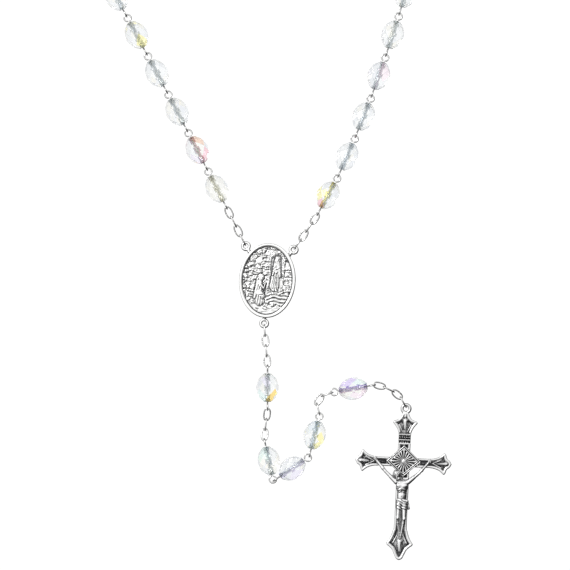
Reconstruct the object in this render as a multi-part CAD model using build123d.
from build123d import *
import math
import os

# A rosary laid out flat: a loop of faceted glass beads on wire pins, an oval
# centrepiece medal with a relic case in its back, and a pendant chain that ends
# in a crucifix. Millimetres, +Z up. The origin is the middle of the relic case,
# on the surface that the rosary lies on.

# ---------------------------------------------------------------- wire and chain
WIRE_R = 0.23                 # half the wire's thickness
GRIP = 0.52                   # middle to middle of two wires that hold each other
LINK_LENGTH = 3.40            # wire middle to wire middle along a link
LINK_R = 0.87                 # half the link's width, to the wire's middle
LINK_SEAM = 0.08              # the closed cut in a link's side
PIN_LENGTH = 12.67            # wire middle to wire middle along a bead's pin
EYE_R = 0.97                  # pin eye radius, to the wire's middle
EYE_SEAM = 28.0               # degrees left open between the eye's tip and its stem
OPEN_EYE = 68.0               # degrees left open in the eye where the loop unhooks
PIN_HEIGHT = 3.26             # height of a bead's pin over the surface

# ---------------------------------------------------------------- beads
BEAD_R = 3.25                 # out to the points of the middle row
BEAD_BORE_R = 0.5
BEAD_SIDES = 8
BEAD_ROWS = [0.0, 1.5, 2.6, 3.5, 4.0]    # distance of each row of points from the middle
BEAD_ROLL = 137.5             # degrees that each bead is turned on from the last

# ---------------------------------------------------------------- medal
MEDAL_TURN = -4.3             # degrees, seen from above
MEDAL_W = 15.9
MEDAL_H = 21.0
MEDAL_BACK = 0.8              # height of the medal's back, on its relic bezel
MEDAL_T = 1.8
MEDAL_EDGE = 0.35
RIM_W = 0.85
FIELD_DEPTH = 0.5
LUG_R = 0.98                  # lug ring radius, to the middle of its band
LUG_BAND_R = 0.42
LUG_GRIP = 0.70               # band middle to the middle of the wire it holds
LUG_X = 6.72                  # upper lugs, in the medal's own frame
LUG_Y = 9.16
DROP_LUG_Y = -12.07
LUG_Z = 1.7
BEZEL_R = 4.35
LENS_R = 3.3
RELIC_R = 3.0
FIT = 0.05                    # room round the lens and the relic

# ---------------------------------------------------------------- crucifix
CROSS_TURN = -2.8             # degrees, seen from above
CROSS_T = 1.5
EYE_TOP_Y = 14.75             # suspension ring, from the crossing
RING_R = 1.1
RING_BAND_R = 0.45
RING_GRIP = 0.73
RING_Z = 1.0
UPRIGHT_W = 3.4
BEAM_W = 2.6
BEAM_Y = -0.3
SIDE_REACH = 13.6
FOOT_Y = -27.9
PLAQUE_X = 4.9
PLAQUE_Y = 4.5
PLAQUE_T = 0.5
RAYS = 20
FIGURE_H = 19.6               # a standing figure of this build, crown to soles
FIGURE_GAP = 0.04

# ---------------------------------------------------------------- layout
# degrees from +X along the pendant, from the medal down to the crucifix
DROP_BEARINGS = [-86, -85, -85, -85]
FIRST_BEAD_BEARING = -90
MIDDLE_BEARINGS = [-97, -97, -96]
TRIO_BEARINGS = [-78, 34, 76]
LOWER_BEARINGS = [104, 55, 20]
LAST_BEAD_BEARING = 10
CRUCIFIX_BEARINGS = [-14, -26, -40, -60]
SAG = 12.0                    # degrees that the end links of a group of three dip
# (distance from the medal, bearing) along the loop; straight blends in between
LEFT_COURSE = [(0, 116.5), (55, 118), (218.31, 118), (374.1, 0)]
RIGHT_COURSE = [(0, 55), (12, 57), (22, 65), (60, 71.5), (200, 84.34), (374.1, 180)]
RUN_BEADS = 5                 # beads that move together in the loop


# ================================================================ layout helpers
def heading(bearing, slope=0.0):
    """The unit vector at a bearing from +X and a slope up from the surface."""
    b = math.radians(bearing)
    s = math.radians(slope)
    return Vector(math.cos(b) * math.cos(s), math.sin(b) * math.cos(s), math.sin(s))


def bearing_at(course, distance):
    """The bearing at a distance along a course of (distance, bearing) points."""
    for (d0, b0), (d1, b1) in zip(course, course[1:]):
        if distance <= d1:
            return b0 + (b1 - b0) * (distance - d0) / (d1 - d0)
    return course[-1][1]


class Piece:
    """A link or a bead's pin: where it starts, how it lies and which ends lie flat."""

    def __init__(self, kind, start, bearing, slope, near_flat, far_flat):
        self.kind = kind
        self.bearing = bearing
        self.slope = slope
        self.near_flat = near_flat
        self.far_flat = far_flat
        self.along = heading(bearing, slope)
        self.across = heading(bearing + 90)
        self.up = self.along.cross(self.across)
        self.length = PIN_LENGTH if kind == "pin" else LINK_LENGTH
        self.near = start
        self.far = start + self.along * self.length
        self.middle = start + self.along * (self.length / 2)

    def frame(self):
        """A plane in the piece's middle, X along it and Z up."""
        return Plane(origin=self.middle, x_dir=self.along, z_dir=self.up)


def link(bearing, slope, flat):
    return ("link", bearing, slope, flat, flat)


def pin(bearing, near_flat, far_flat):
    return ("pin", bearing, 0.0, near_flat, far_flat)


def string_up(lug, reach, steps):
    """Places a list of steps one after another, from a lug's ring of a given reach."""
    pieces = []
    for kind, bearing, slope, near_flat, far_flat in steps:
        along = heading(bearing, slope)
        if not pieces:
            start = lug + along * reach
        else:
            last = pieces[-1]
            start = last.far - (last.along if last.far_flat else along) * GRIP
        pieces.append(Piece(kind, start, bearing, slope, near_flat, far_flat))
    return pieces


def medal_point(x, y, z=0.0):
    """A point of the medal's own frame, in the rosary's frame."""
    return Vector(x, y, z).rotate(Axis.Z, MEDAL_TURN)


def climb(from_z, to_z, lead=0.0):
    """The slope of four links, and a lead before them, between two heights."""
    reach = lead + 4 * (LINK_LENGTH - GRIP)
    return math.degrees(math.asin((to_z - from_z) / reach))


def pendant_layout():
    """The 19 pieces between the medal's lower lug and the crucifix."""
    rise = climb(LUG_Z, PIN_HEIGHT, LUG_R - LUG_GRIP)
    fall = climb(PIN_HEIGHT, RING_Z)
    dips = [-SAG, 0.0, SAG]
    steps = []
    for n, bearing in enumerate(DROP_BEARINGS):
        steps.append(link(bearing, rise, n % 2 == 1))
    steps.append(pin(FIRST_BEAD_BEARING, False, False))
    for n, bearing in enumerate(MIDDLE_BEARINGS):
        steps.append(link(bearing, dips[n], n % 2 == 0))
    for bearing in TRIO_BEARINGS:
        steps.append(pin(bearing, False, True))
    for n, bearing in enumerate(LOWER_BEARINGS):
        steps.append(link(bearing, dips[n], n % 2 == 1))
    steps.append(pin(LAST_BEAD_BEARING, True, False))
    for n, bearing in enumerate(CRUCIFIX_BEARINGS):
        steps.append(link(bearing, fall, n % 2 == 0))
    return string_up(medal_point(0, DROP_LUG_Y, LUG_Z), LUG_R - LUG_GRIP, steps)


def loop_steps():
    """Kinds and ends of one half of the loop: five beads short of three decades."""
    decade = [("pin", 0.0, False, True)] * (2 * RUN_BEADS)
    father = [
        ("link", -SAG, False, False),
        ("link", 0.0, True, True),
        ("link", SAG, False, False),
        ("pin", 0.0, True, False),
        ("link", -SAG, True, True),
        ("link", 0.0, False, False),
        ("link", SAG, True, True),
    ]
    rise = climb(LUG_Z, PIN_HEIGHT, LUG_R - LUG_GRIP)
    lead = [("link", rise, n % 2 == 1, n % 2 == 1) for n in range(4)]
    return lead + decade + father + decade + father + decade[:RUN_BEADS]


def half_loop(lug_x, course):
    """The pieces of one half of the loop, following its course."""
    steps = []
    distance = 0.0
    for kind, slope, near_flat, far_flat in loop_steps():
        pitch = (PIN_LENGTH if kind == "pin" else LINK_LENGTH) - GRIP
        bearing = bearing_at(course, distance + pitch / 2)
        steps.append((kind, bearing, slope, near_flat, far_flat))
        distance += pitch
    if lug_x > 0:
        steps[-1] = pin(steps[-1][1], False, False)
    return string_up(medal_point(lug_x, LUG_Y, LUG_Z), LUG_R - LUG_GRIP, steps)


def cross_frame(pendant):
    """The crucifix's own frame: its crossing, on the surface, with +Y to its ring."""
    last = pendant[-1]
    down = heading(-90 + CROSS_TURN)
    ring = last.far + down * (RING_R - RING_GRIP)
    crossing = ring + down * EYE_TOP_Y
    crossing.Z = 0.0
    return Plane(origin=crossing, x_dir=heading(CROSS_TURN), z_dir=(0, 0, 1))


# ================================================================ wire and glass
def bend(radius, band, degrees=360):
    """Part of a ring of round section, centred on its own middle, from +X on."""
    return Torus(radius, band, major_angle=degrees, align=None)


def link_solid(piece):
    """An oval link of round wire, with the thin seam where its ends meet."""
    straight = LINK_LENGTH / 2 - LINK_R
    end = bend(LINK_R, WIRE_R, 180)
    solid = Pos(straight, 0, 0) * Rot(0, 0, -90) * end
    solid += Pos(-straight, 0, 0) * Rot(0, 0, 90) * end
    side = Rot(0, 90, 0) * Cylinder(WIRE_R, 2 * straight)
    solid += Pos(0, LINK_R, 0) * side
    solid += Pos(0, -LINK_R, 0) * side
    solid -= Pos(0, LINK_R, 0) * Box(LINK_SEAM, 4 * WIRE_R, 4 * WIRE_R)
    if not piece.near_flat:
        solid = Rot(90, 0, 0) * solid
    return piece.frame() * solid


def eye_solid(flat, opened):
    """A pin's eye at the stem's +X end, centred on its hole."""
    if opened:
        eye = Rot(0, 0, OPEN_EYE / 2) * bend(EYE_R, WIRE_R, 360 - OPEN_EYE)
    else:
        eye = Rot(0, 0, 180) * bend(EYE_R, WIRE_R, 360 - EYE_SEAM)
    return eye if flat else Rot(90, 0, 0) * eye


def pin_solid(piece, opened=False):
    """A straight wire through a bead, bent into an eye at both ends."""
    eye_x = PIN_LENGTH / 2 - EYE_R
    stem = Rot(0, 90, 0) * Cylinder(WIRE_R, 2 * (eye_x - EYE_R))
    far = Pos(eye_x, 0, 0) * eye_solid(piece.far_flat, opened)
    near = Pos(-eye_x, 0, 0) * Rot(0, 0, 180) * eye_solid(piece.near_flat, False)
    return piece.frame() * (stem + far + near)


def bead_radii():
    """Each row's radius, so that every facet between the rows is flat."""
    inward = math.cos(math.pi / BEAD_SIDES)
    radii = [BEAD_R, BEAD_R * inward]
    for n in range(1, len(BEAD_ROWS) - 1):
        before, here, after = BEAD_ROWS[n - 1:n + 2]
        slant = (radii[n] * inward - radii[n - 1]) / (here - before)
        radii.append(radii[n - 1] + slant * (after - before))
    return radii


def bead_blank():
    """A bored bead of flat four-cornered facets, its axis along X."""
    radii = bead_radii()
    last = len(BEAD_ROWS) - 1

    def corner(row, number, side):
        angle = 2 * math.pi * (number + (row % 2) / 2) / BEAD_SIDES
        y = radii[row] * math.cos(angle)
        z = radii[row] * math.sin(angle)
        return Vector(side * BEAD_ROWS[row], y, z)

    outlines = []
    for k in range(BEAD_SIDES):
        outlines.append([corner(0, k, 1), corner(1, k, 1), corner(0, k + 1, 1), corner(1, k, -1)])
        for side in (1, -1):
            for row in range(last - 1):
                back = row % 2 == 0
                a = corner(row + 1, k - 1 if back else k, side)
                b = corner(row + 1, k if back else k + 1, side)
                outlines.append([corner(row, k, side), a, corner(row + 2, k, side), b])
            outlines.append([corner(last - 1, k, side), corner(last, k, side), corner(last, k + 1, side)])
    for side in (1, -1):
        outlines.append([corner(last, k, side) for k in range(BEAD_SIDES)])
    faces = [Face(Wire.make_polygon(outline, close=True)) for outline in outlines]
    body = Solid(Shell(faces))
    return body - Rot(0, 90, 0) * Cylinder(BEAD_BORE_R, 4 * BEAD_ROWS[-1])


def bead_solid(blank, piece, number):
    return piece.frame() * (Rot(BEAD_ROLL * number, 0, 0) * blank)


# ================================================================ medal
def oval(width, height, thickness, z):
    return Pos(0, 0, z) * extrude(Ellipse(width / 2, height / 2), thickness)


def capsule(start, end, radius, end_radius=None):
    """A tapered limb with round ends, from one point to another."""
    end_radius = radius if end_radius is None else end_radius
    origin = Vector(*start)
    along = Vector(*end) - origin
    length = along.length
    lean = math.asin((radius - end_radius) / length)
    half_low = (lean - math.pi / 2) / 2
    half_high = (lean + math.pi / 2) / 2
    foot = (radius * math.cos(lean), radius * math.sin(lean))
    head = (end_radius * math.cos(lean), length + end_radius * math.sin(lean))
    outline = [
        Line((0, length + end_radius), (0, -radius)),
        ThreePointArc((0, -radius), (radius * math.cos(half_low), radius * math.sin(half_low)), foot),
        Line(foot, head),
        ThreePointArc(
            head,
            (end_radius * math.cos(half_high), length + end_radius * math.sin(half_high)),
            (0, length + end_radius),
        ),
    ]
    limb = revolve(Plane.XZ * make_face(outline), Axis.Z)
    level = Vector(0, 0, 1).cross(along)
    x_dir = level if level.length > 0 else Vector(1, 0, 0)
    return Plane(origin=origin, x_dir=x_dir, z_dir=along) * limb


def medal_relief(floor):
    """The low relief on the medal's face: two robed figures by a rock arch."""
    standing = capsule((1.6, -1.2, floor - 0.45), (1.9, 3.2, floor - 0.35), 1.15, 0.75)
    standing += Pos(1.95, 4.35, floor - 0.2) * Sphere(0.6)
    kneeling = capsule((-2.3, -4.6, floor - 0.5), (-2.4, -1.8, floor - 0.4), 1.2, 0.8)
    kneeling += Pos(-2.0, -0.7, floor - 0.2) * Sphere(0.6)
    arch = Pos(2.0, 2.9, floor - 0.15) * bend(2.9, 0.5, 180)
    bank = capsule((-5.2, -2.6, floor - 0.35), (-5.4, 1.6, floor - 0.35), 0.8)
    shore = capsule((-3.6, -6.6, floor - 0.4), (3.4, -6.0, floor - 0.4), 0.75)
    ledge = capsule((0.0, -3.1, floor - 0.3), (4.9, -2.7, floor - 0.3), 0.6)
    field = oval(MEDAL_W - 2 * RIM_W, MEDAL_H - 2 * RIM_W, FIELD_DEPTH, floor - 0.05)
    return [shape & field for shape in (standing, kneeling, arch, bank, shore, ledge)]


def medal():
    """The oval centrepiece: a plate with a raised rim, a relief and three lugs."""
    body = oval(MEDAL_W, MEDAL_H, MEDAL_T, MEDAL_BACK)
    body = fillet(body.edges(), MEDAL_EDGE)
    top = MEDAL_BACK + MEDAL_T
    floor = top - FIELD_DEPTH
    body -= oval(MEDAL_W - 2 * RIM_W, MEDAL_H - 2 * RIM_W, FIELD_DEPTH, floor)
    for shape in medal_relief(floor):
        body += shape
    ring = bend(LUG_R, LUG_BAND_R)
    for x, y in ((-LUG_X, LUG_Y), (LUG_X, LUG_Y), (0, DROP_LUG_Y)):
        centre = Vector(x, y, LUG_Z)
        inward = Vector(x, y, 0).normalized() * -1
        neck_start = centre + inward * LUG_R
        neck_end = centre + inward * (LUG_R + 1.4)
        body += Pos(*centre) * ring
        body += capsule(tuple(neck_start), tuple(neck_end), LUG_BAND_R, 0.7)
    return Rot(0, 0, MEDAL_TURN) * body


def relic_bezel():
    """The round collar on the medal's back that holds the lens in."""
    collar = Cylinder(BEZEL_R, MEDAL_BACK, align=(Align.CENTER, Align.CENTER, Align.MIN))
    rounded = fillet(collar.edges().group_by(Axis.Z)[0], 0.2)
    seat_r = LENS_R + FIT
    lip_r = seat_r - 0.25
    seat = Pos(0, 0, 0.15) * Cylinder(seat_r, MEDAL_BACK, align=(Align.CENTER, Align.CENTER, Align.MIN))
    return rounded - seat - Cylinder(lip_r, 4 * MEDAL_BACK)


def relic_lens():
    """The clear cover, flat where the lip holds it and domed outwards inside it."""
    disc = Pos(0, 0, 0.2) * Cylinder(LENS_R, 0.4, align=(Align.CENTER, Align.CENTER, Align.MIN))
    dome_r = 24.0
    dome = Pos(0, 0, dome_r + 0.04) * Sphere(dome_r)
    plug = Cylinder(LENS_R - 0.3, 0.5, align=(Align.CENTER, Align.CENTER, Align.MIN))
    return disc + (dome & plug)


def relic():
    """The small round of cloth on its backing card, behind the lens."""
    return Pos(0, 0, 0.64) * Cylinder(RELIC_R, 0.12, align=(Align.CENTER, Align.CENTER, Align.MIN))


# ================================================================ crucifix
def finial_outline(neck, flare, flare_y, waist, point_y):
    """A flared end: out to two side tips, then an ogee to a rounded point, up +Y."""
    waist_y = flare_y + (point_y - flare_y) * 0.35
    side = [
        Spline((neck, 0), (neck * 1.12, flare_y * 0.45), (flare, flare_y), tangents=((0, 1), (1, 0.7))),
        ThreePointArc((flare, flare_y), ((flare + waist) * 0.46, flare_y * 0.99), (waist, waist_y)),
        Spline((waist, waist_y), (waist * 0.55, point_y * 0.93), (0, point_y), tangents=((0.1, 1), (-1, 0.15))),
    ]
    mirrored = [edge.mirror(Plane.YZ) for edge in side]
    base = Line((neck, 0), (-neck, 0))
    return make_face(Wire.combine([base] + side + mirrored)[0])


def finial(neck, flare, flare_y, waist, point_y, leaf_y):
    """A finial with a raised border, a sunk field and a raised leaf in its middle."""
    body = extrude(finial_outline(neck, flare, flare_y, waist, point_y), CROSS_T)
    field = finial_outline(neck * 0.6, flare * 0.62, flare_y * 0.94, waist * 0.5, point_y * 0.86)
    body -= Pos(0, 0, CROSS_T - 0.4) * extrude(field, 0.5)
    leaf = capsule((0, leaf_y - 1.1, CROSS_T - 0.45), (0, leaf_y + 0.7, CROSS_T - 0.35), 0.35, 0.6)
    return body + leaf


def plaque():
    """The diamond on the crossing, with a raised border and a sunburst."""
    def diamond(inset, thickness, z):
        x = PLAQUE_X - inset
        y = PLAQUE_Y - inset * PLAQUE_Y / PLAQUE_X
        outline = Polyline((x, 0), (0, y), (-x, 0), (0, -y), close=True)
        return Pos(0, 0, z) * extrude(make_face(outline), thickness)

    border = diamond(0, PLAQUE_T, CROSS_T) - diamond(0.75, PLAQUE_T, CROSS_T + 0.3)
    border -= diamond(0.3, PLAQUE_T, CROSS_T + 0.42) - diamond(0.45, PLAQUE_T, CROSS_T)
    burst = diamond(0.9, 0.45, CROSS_T)
    wedge = make_face(Polyline((0.5, 0), (6, 0.35), (6, -0.35), close=True))
    groove = Pos(0, 0, CROSS_T + 0.25) * extrude(wedge, 1.0)
    for n in range(RAYS):
        burst -= Rot(0, 0, 360 * (n + 0.5) / RAYS) * groove
    return border + burst


def cross(frame):
    """The crucifix's cross, cast in one piece with its ring, plaque and foot rest."""
    top_y = 7.2
    side_x = 7.4
    foot_y = -19.4
    half_up = UPRIGHT_W / 2
    half_beam = BEAM_W / 2
    body = Pos(0, (top_y + foot_y) / 2, CROSS_T / 2) * Box(UPRIGHT_W, top_y - foot_y, CROSS_T)
    body += Pos(0, BEAM_Y, CROSS_T / 2) * Box(2 * side_x, BEAM_W, CROSS_T)
    upper = finial(half_up, 3.5, 3.6, 1.25, 6.2, 3.0)
    lower = finial(half_up, 3.8, 3.7, 1.9, -FOOT_Y + foot_y, 4.0)
    side = finial(half_beam, 3.05, 3.9, 1.3, SIDE_REACH - side_x, 3.6)
    body += Pos(0, top_y, 0) * upper
    body += Pos(0, foot_y, 0) * Rot(0, 0, 180) * lower
    body += Pos(side_x, BEAM_Y, 0) * Rot(0, 0, -90) * side
    body += Pos(-side_x, BEAM_Y, 0) * Rot(0, 0, 90) * side
    for y in (5.2, 6.1, 7.0):
        body += Pos(0, y, CROSS_T / 2 + 0.1) * Box(UPRIGHT_W + 0.2, 0.4, CROSS_T + 0.2)
    body += plaque()
    rest_z = CROSS_T - 0.4
    body += capsule((0, -20.4, rest_z), (0, -21.8, rest_z), 0.75, 0.5)
    body += Pos(0, EYE_TOP_Y, RING_Z) * bend(RING_R, RING_BAND_R)
    return frame * body


def corpus(frame):
    """The cast figure on the cross, head bowed to its right shoulder."""
    head_r = FIGURE_H / 7.5 * 0.44
    back = CROSS_T + FIGURE_GAP
    lift = PLAQUE_T + back
    hips = (0.1, -12.2, back + 0.95)
    chest = (-0.1, -7.9, lift + 0.5)
    limbs = [
        capsule(chest, hips, 1.45, 1.1),
        capsule((-1.5, -7.0, lift + 0.5), (1.55, -6.9, lift + 0.5), 0.72, 0.7),
        capsule((-0.85, -12.4, back + 0.85), (1.0, -12.2, back + 0.85), 1.0, 0.95),
        capsule((1.5, -12.0, back + 0.9), (1.75, -14.2, back + 0.7), 0.5, 0.32),
        capsule((-0.4, -6.6, lift + 0.7), (-1.5, -5.0, lift + 1.1), 0.62, 0.55),
        capsule((-1.75, -4.1, lift + 1.15), (-1.6, -5.2, lift + 1.35), head_r, 0.75 * head_r),
    ]
    for side, elbow, hand, knee in (
        (-1, (-4.95, -3.3), (-7.9, 0.3), (-0.75, -16.2)),
        (1, (4.6, -3.3), (7.3, 0.1), (0.9, -16.0)),
    ):
        shoulder = (side * 1.7, -6.75, lift + 0.5)
        joint = (elbow[0], elbow[1], lift + 0.3)
        limbs.append(capsule(shoulder, joint, 0.6, 0.46))
        limbs.append(capsule(joint, (hand[0], hand[1], back + 0.42), 0.44, 0.33))
        limbs.append(capsule((side * 0.7, -12.6, back + 0.9), (knee[0], knee[1], back + 1.35), 0.9, 0.66))
        limbs.append(capsule((knee[0], knee[1], back + 1.35), (side * 0.3, -20.6, back + 0.8), 0.63, 0.4))
    figure = limbs[0]
    for limb in limbs[1:]:
        figure += limb
    back_cut = Pos(0, 0, back - 5) * Box(60, 60, 10)
    plaque_cut = Pos(0, 0, lift / 2) * diamond_block(lift)
    return frame * (figure - back_cut - plaque_cut)


def diamond_block(thickness):
    """The room that the plaque takes up under the figure."""
    x = PLAQUE_X + 2 * FIGURE_GAP
    y = PLAQUE_Y + 2 * FIGURE_GAP
    outline = Polyline((x, 0), (0, y), (-x, 0), (0, -y), close=True)
    return Pos(0, 0, -thickness / 2) * extrude(make_face(outline), thickness)


# ================================================================ nodes
def loop_nodes(side, pieces, blank):
    """Node name to solids for one half of the loop, run by run."""
    nodes = {f"{side}_links": [link_solid(piece) for piece in pieces[:4]]}
    at = 4
    run = 0
    fathers = 0
    bead = 0
    while at < len(pieces):
        if pieces[at].kind == "pin":
            run += 1
            part = pieces[at:at + RUN_BEADS]
            at += RUN_BEADS
            ends = [piece is pieces[-1] and side == "left" for piece in part]
            nodes[f"{side}_run_{run}_pins"] = [pin_solid(p, e) for p, e in zip(part, ends)]
            beads = [bead_solid(blank, p, bead + n) for n, p in enumerate(part)]
            nodes[f"{side}_run_{run}_beads"] = beads
            bead += RUN_BEADS
        else:
            fathers += 1
            part = pieces[at:at + 7]
            at += 7
            wire = [pin_solid(p) if p.kind == "pin" else link_solid(p) for p in part]
            nodes[f"{side}_father_{fathers}_wire"] = wire
            nodes[f"{side}_father_{fathers}_bead"] = [bead_solid(blank, part[3], bead)]
            bead += 1
    return nodes


def pendant_nodes(pieces, blank):
    """Node name to solids for the pendant, one node for each piece."""
    names = pendant_names()
    nodes = {}
    bead = 0
    for name, piece in zip(names, pieces):
        if piece.kind == "pin":
            bead += 1
            nodes[name] = [pin_solid(piece)]
            nodes[f"pendant_bead_{bead}"] = [bead_solid(blank, piece, bead)]
        else:
            nodes[name] = [link_solid(piece)]
    return nodes


def pendant_names():
    names = [f"drop_link_{n}" for n in range(1, 5)] + ["pendant_pin_1"]
    names += [f"middle_link_{n}" for n in range(1, 4)]
    names += [f"pendant_pin_{n}" for n in range(2, 5)]
    names += [f"lower_link_{n}" for n in range(1, 4)] + ["pendant_pin_5"]
    return names + [f"crucifix_link_{n}" for n in range(1, 5)]


def main():
    blank = bead_blank()
    pendant = pendant_layout()
    left = half_loop(-LUG_X, LEFT_COURSE)
    right = half_loop(LUG_X, RIGHT_COURSE)
    frame = cross_frame(pendant)
    nodes = {
        "medal": [medal()],
        "relic_bezel": [relic_bezel()],
        "relic_lens": [relic_lens()],
        "relic": [relic()],
        "cross": [cross(frame)],
        "corpus": [corpus(frame)],
    }
    nodes.update(pendant_nodes(pendant, blank))
    nodes.update(loop_nodes("left", left, blank))
    nodes.update(loop_nodes("right", right, blank))
    hook = left[-1].far - left[-1].along * EYE_R
    print("nodes", len(nodes), "loop ends apart", round((hook - right[-1].far).length, 3))
    os.makedirs("parts", exist_ok=True)
    for name, solids in nodes.items():
        bodies = [solid for shape in solids for solid in shape.solids()]
        shape = bodies[0] if len(bodies) == 1 else Compound(children=bodies)
        shape.label = name
        export_step(shape, f"parts/{name}.step")


if __name__ == "__main__":
    main()
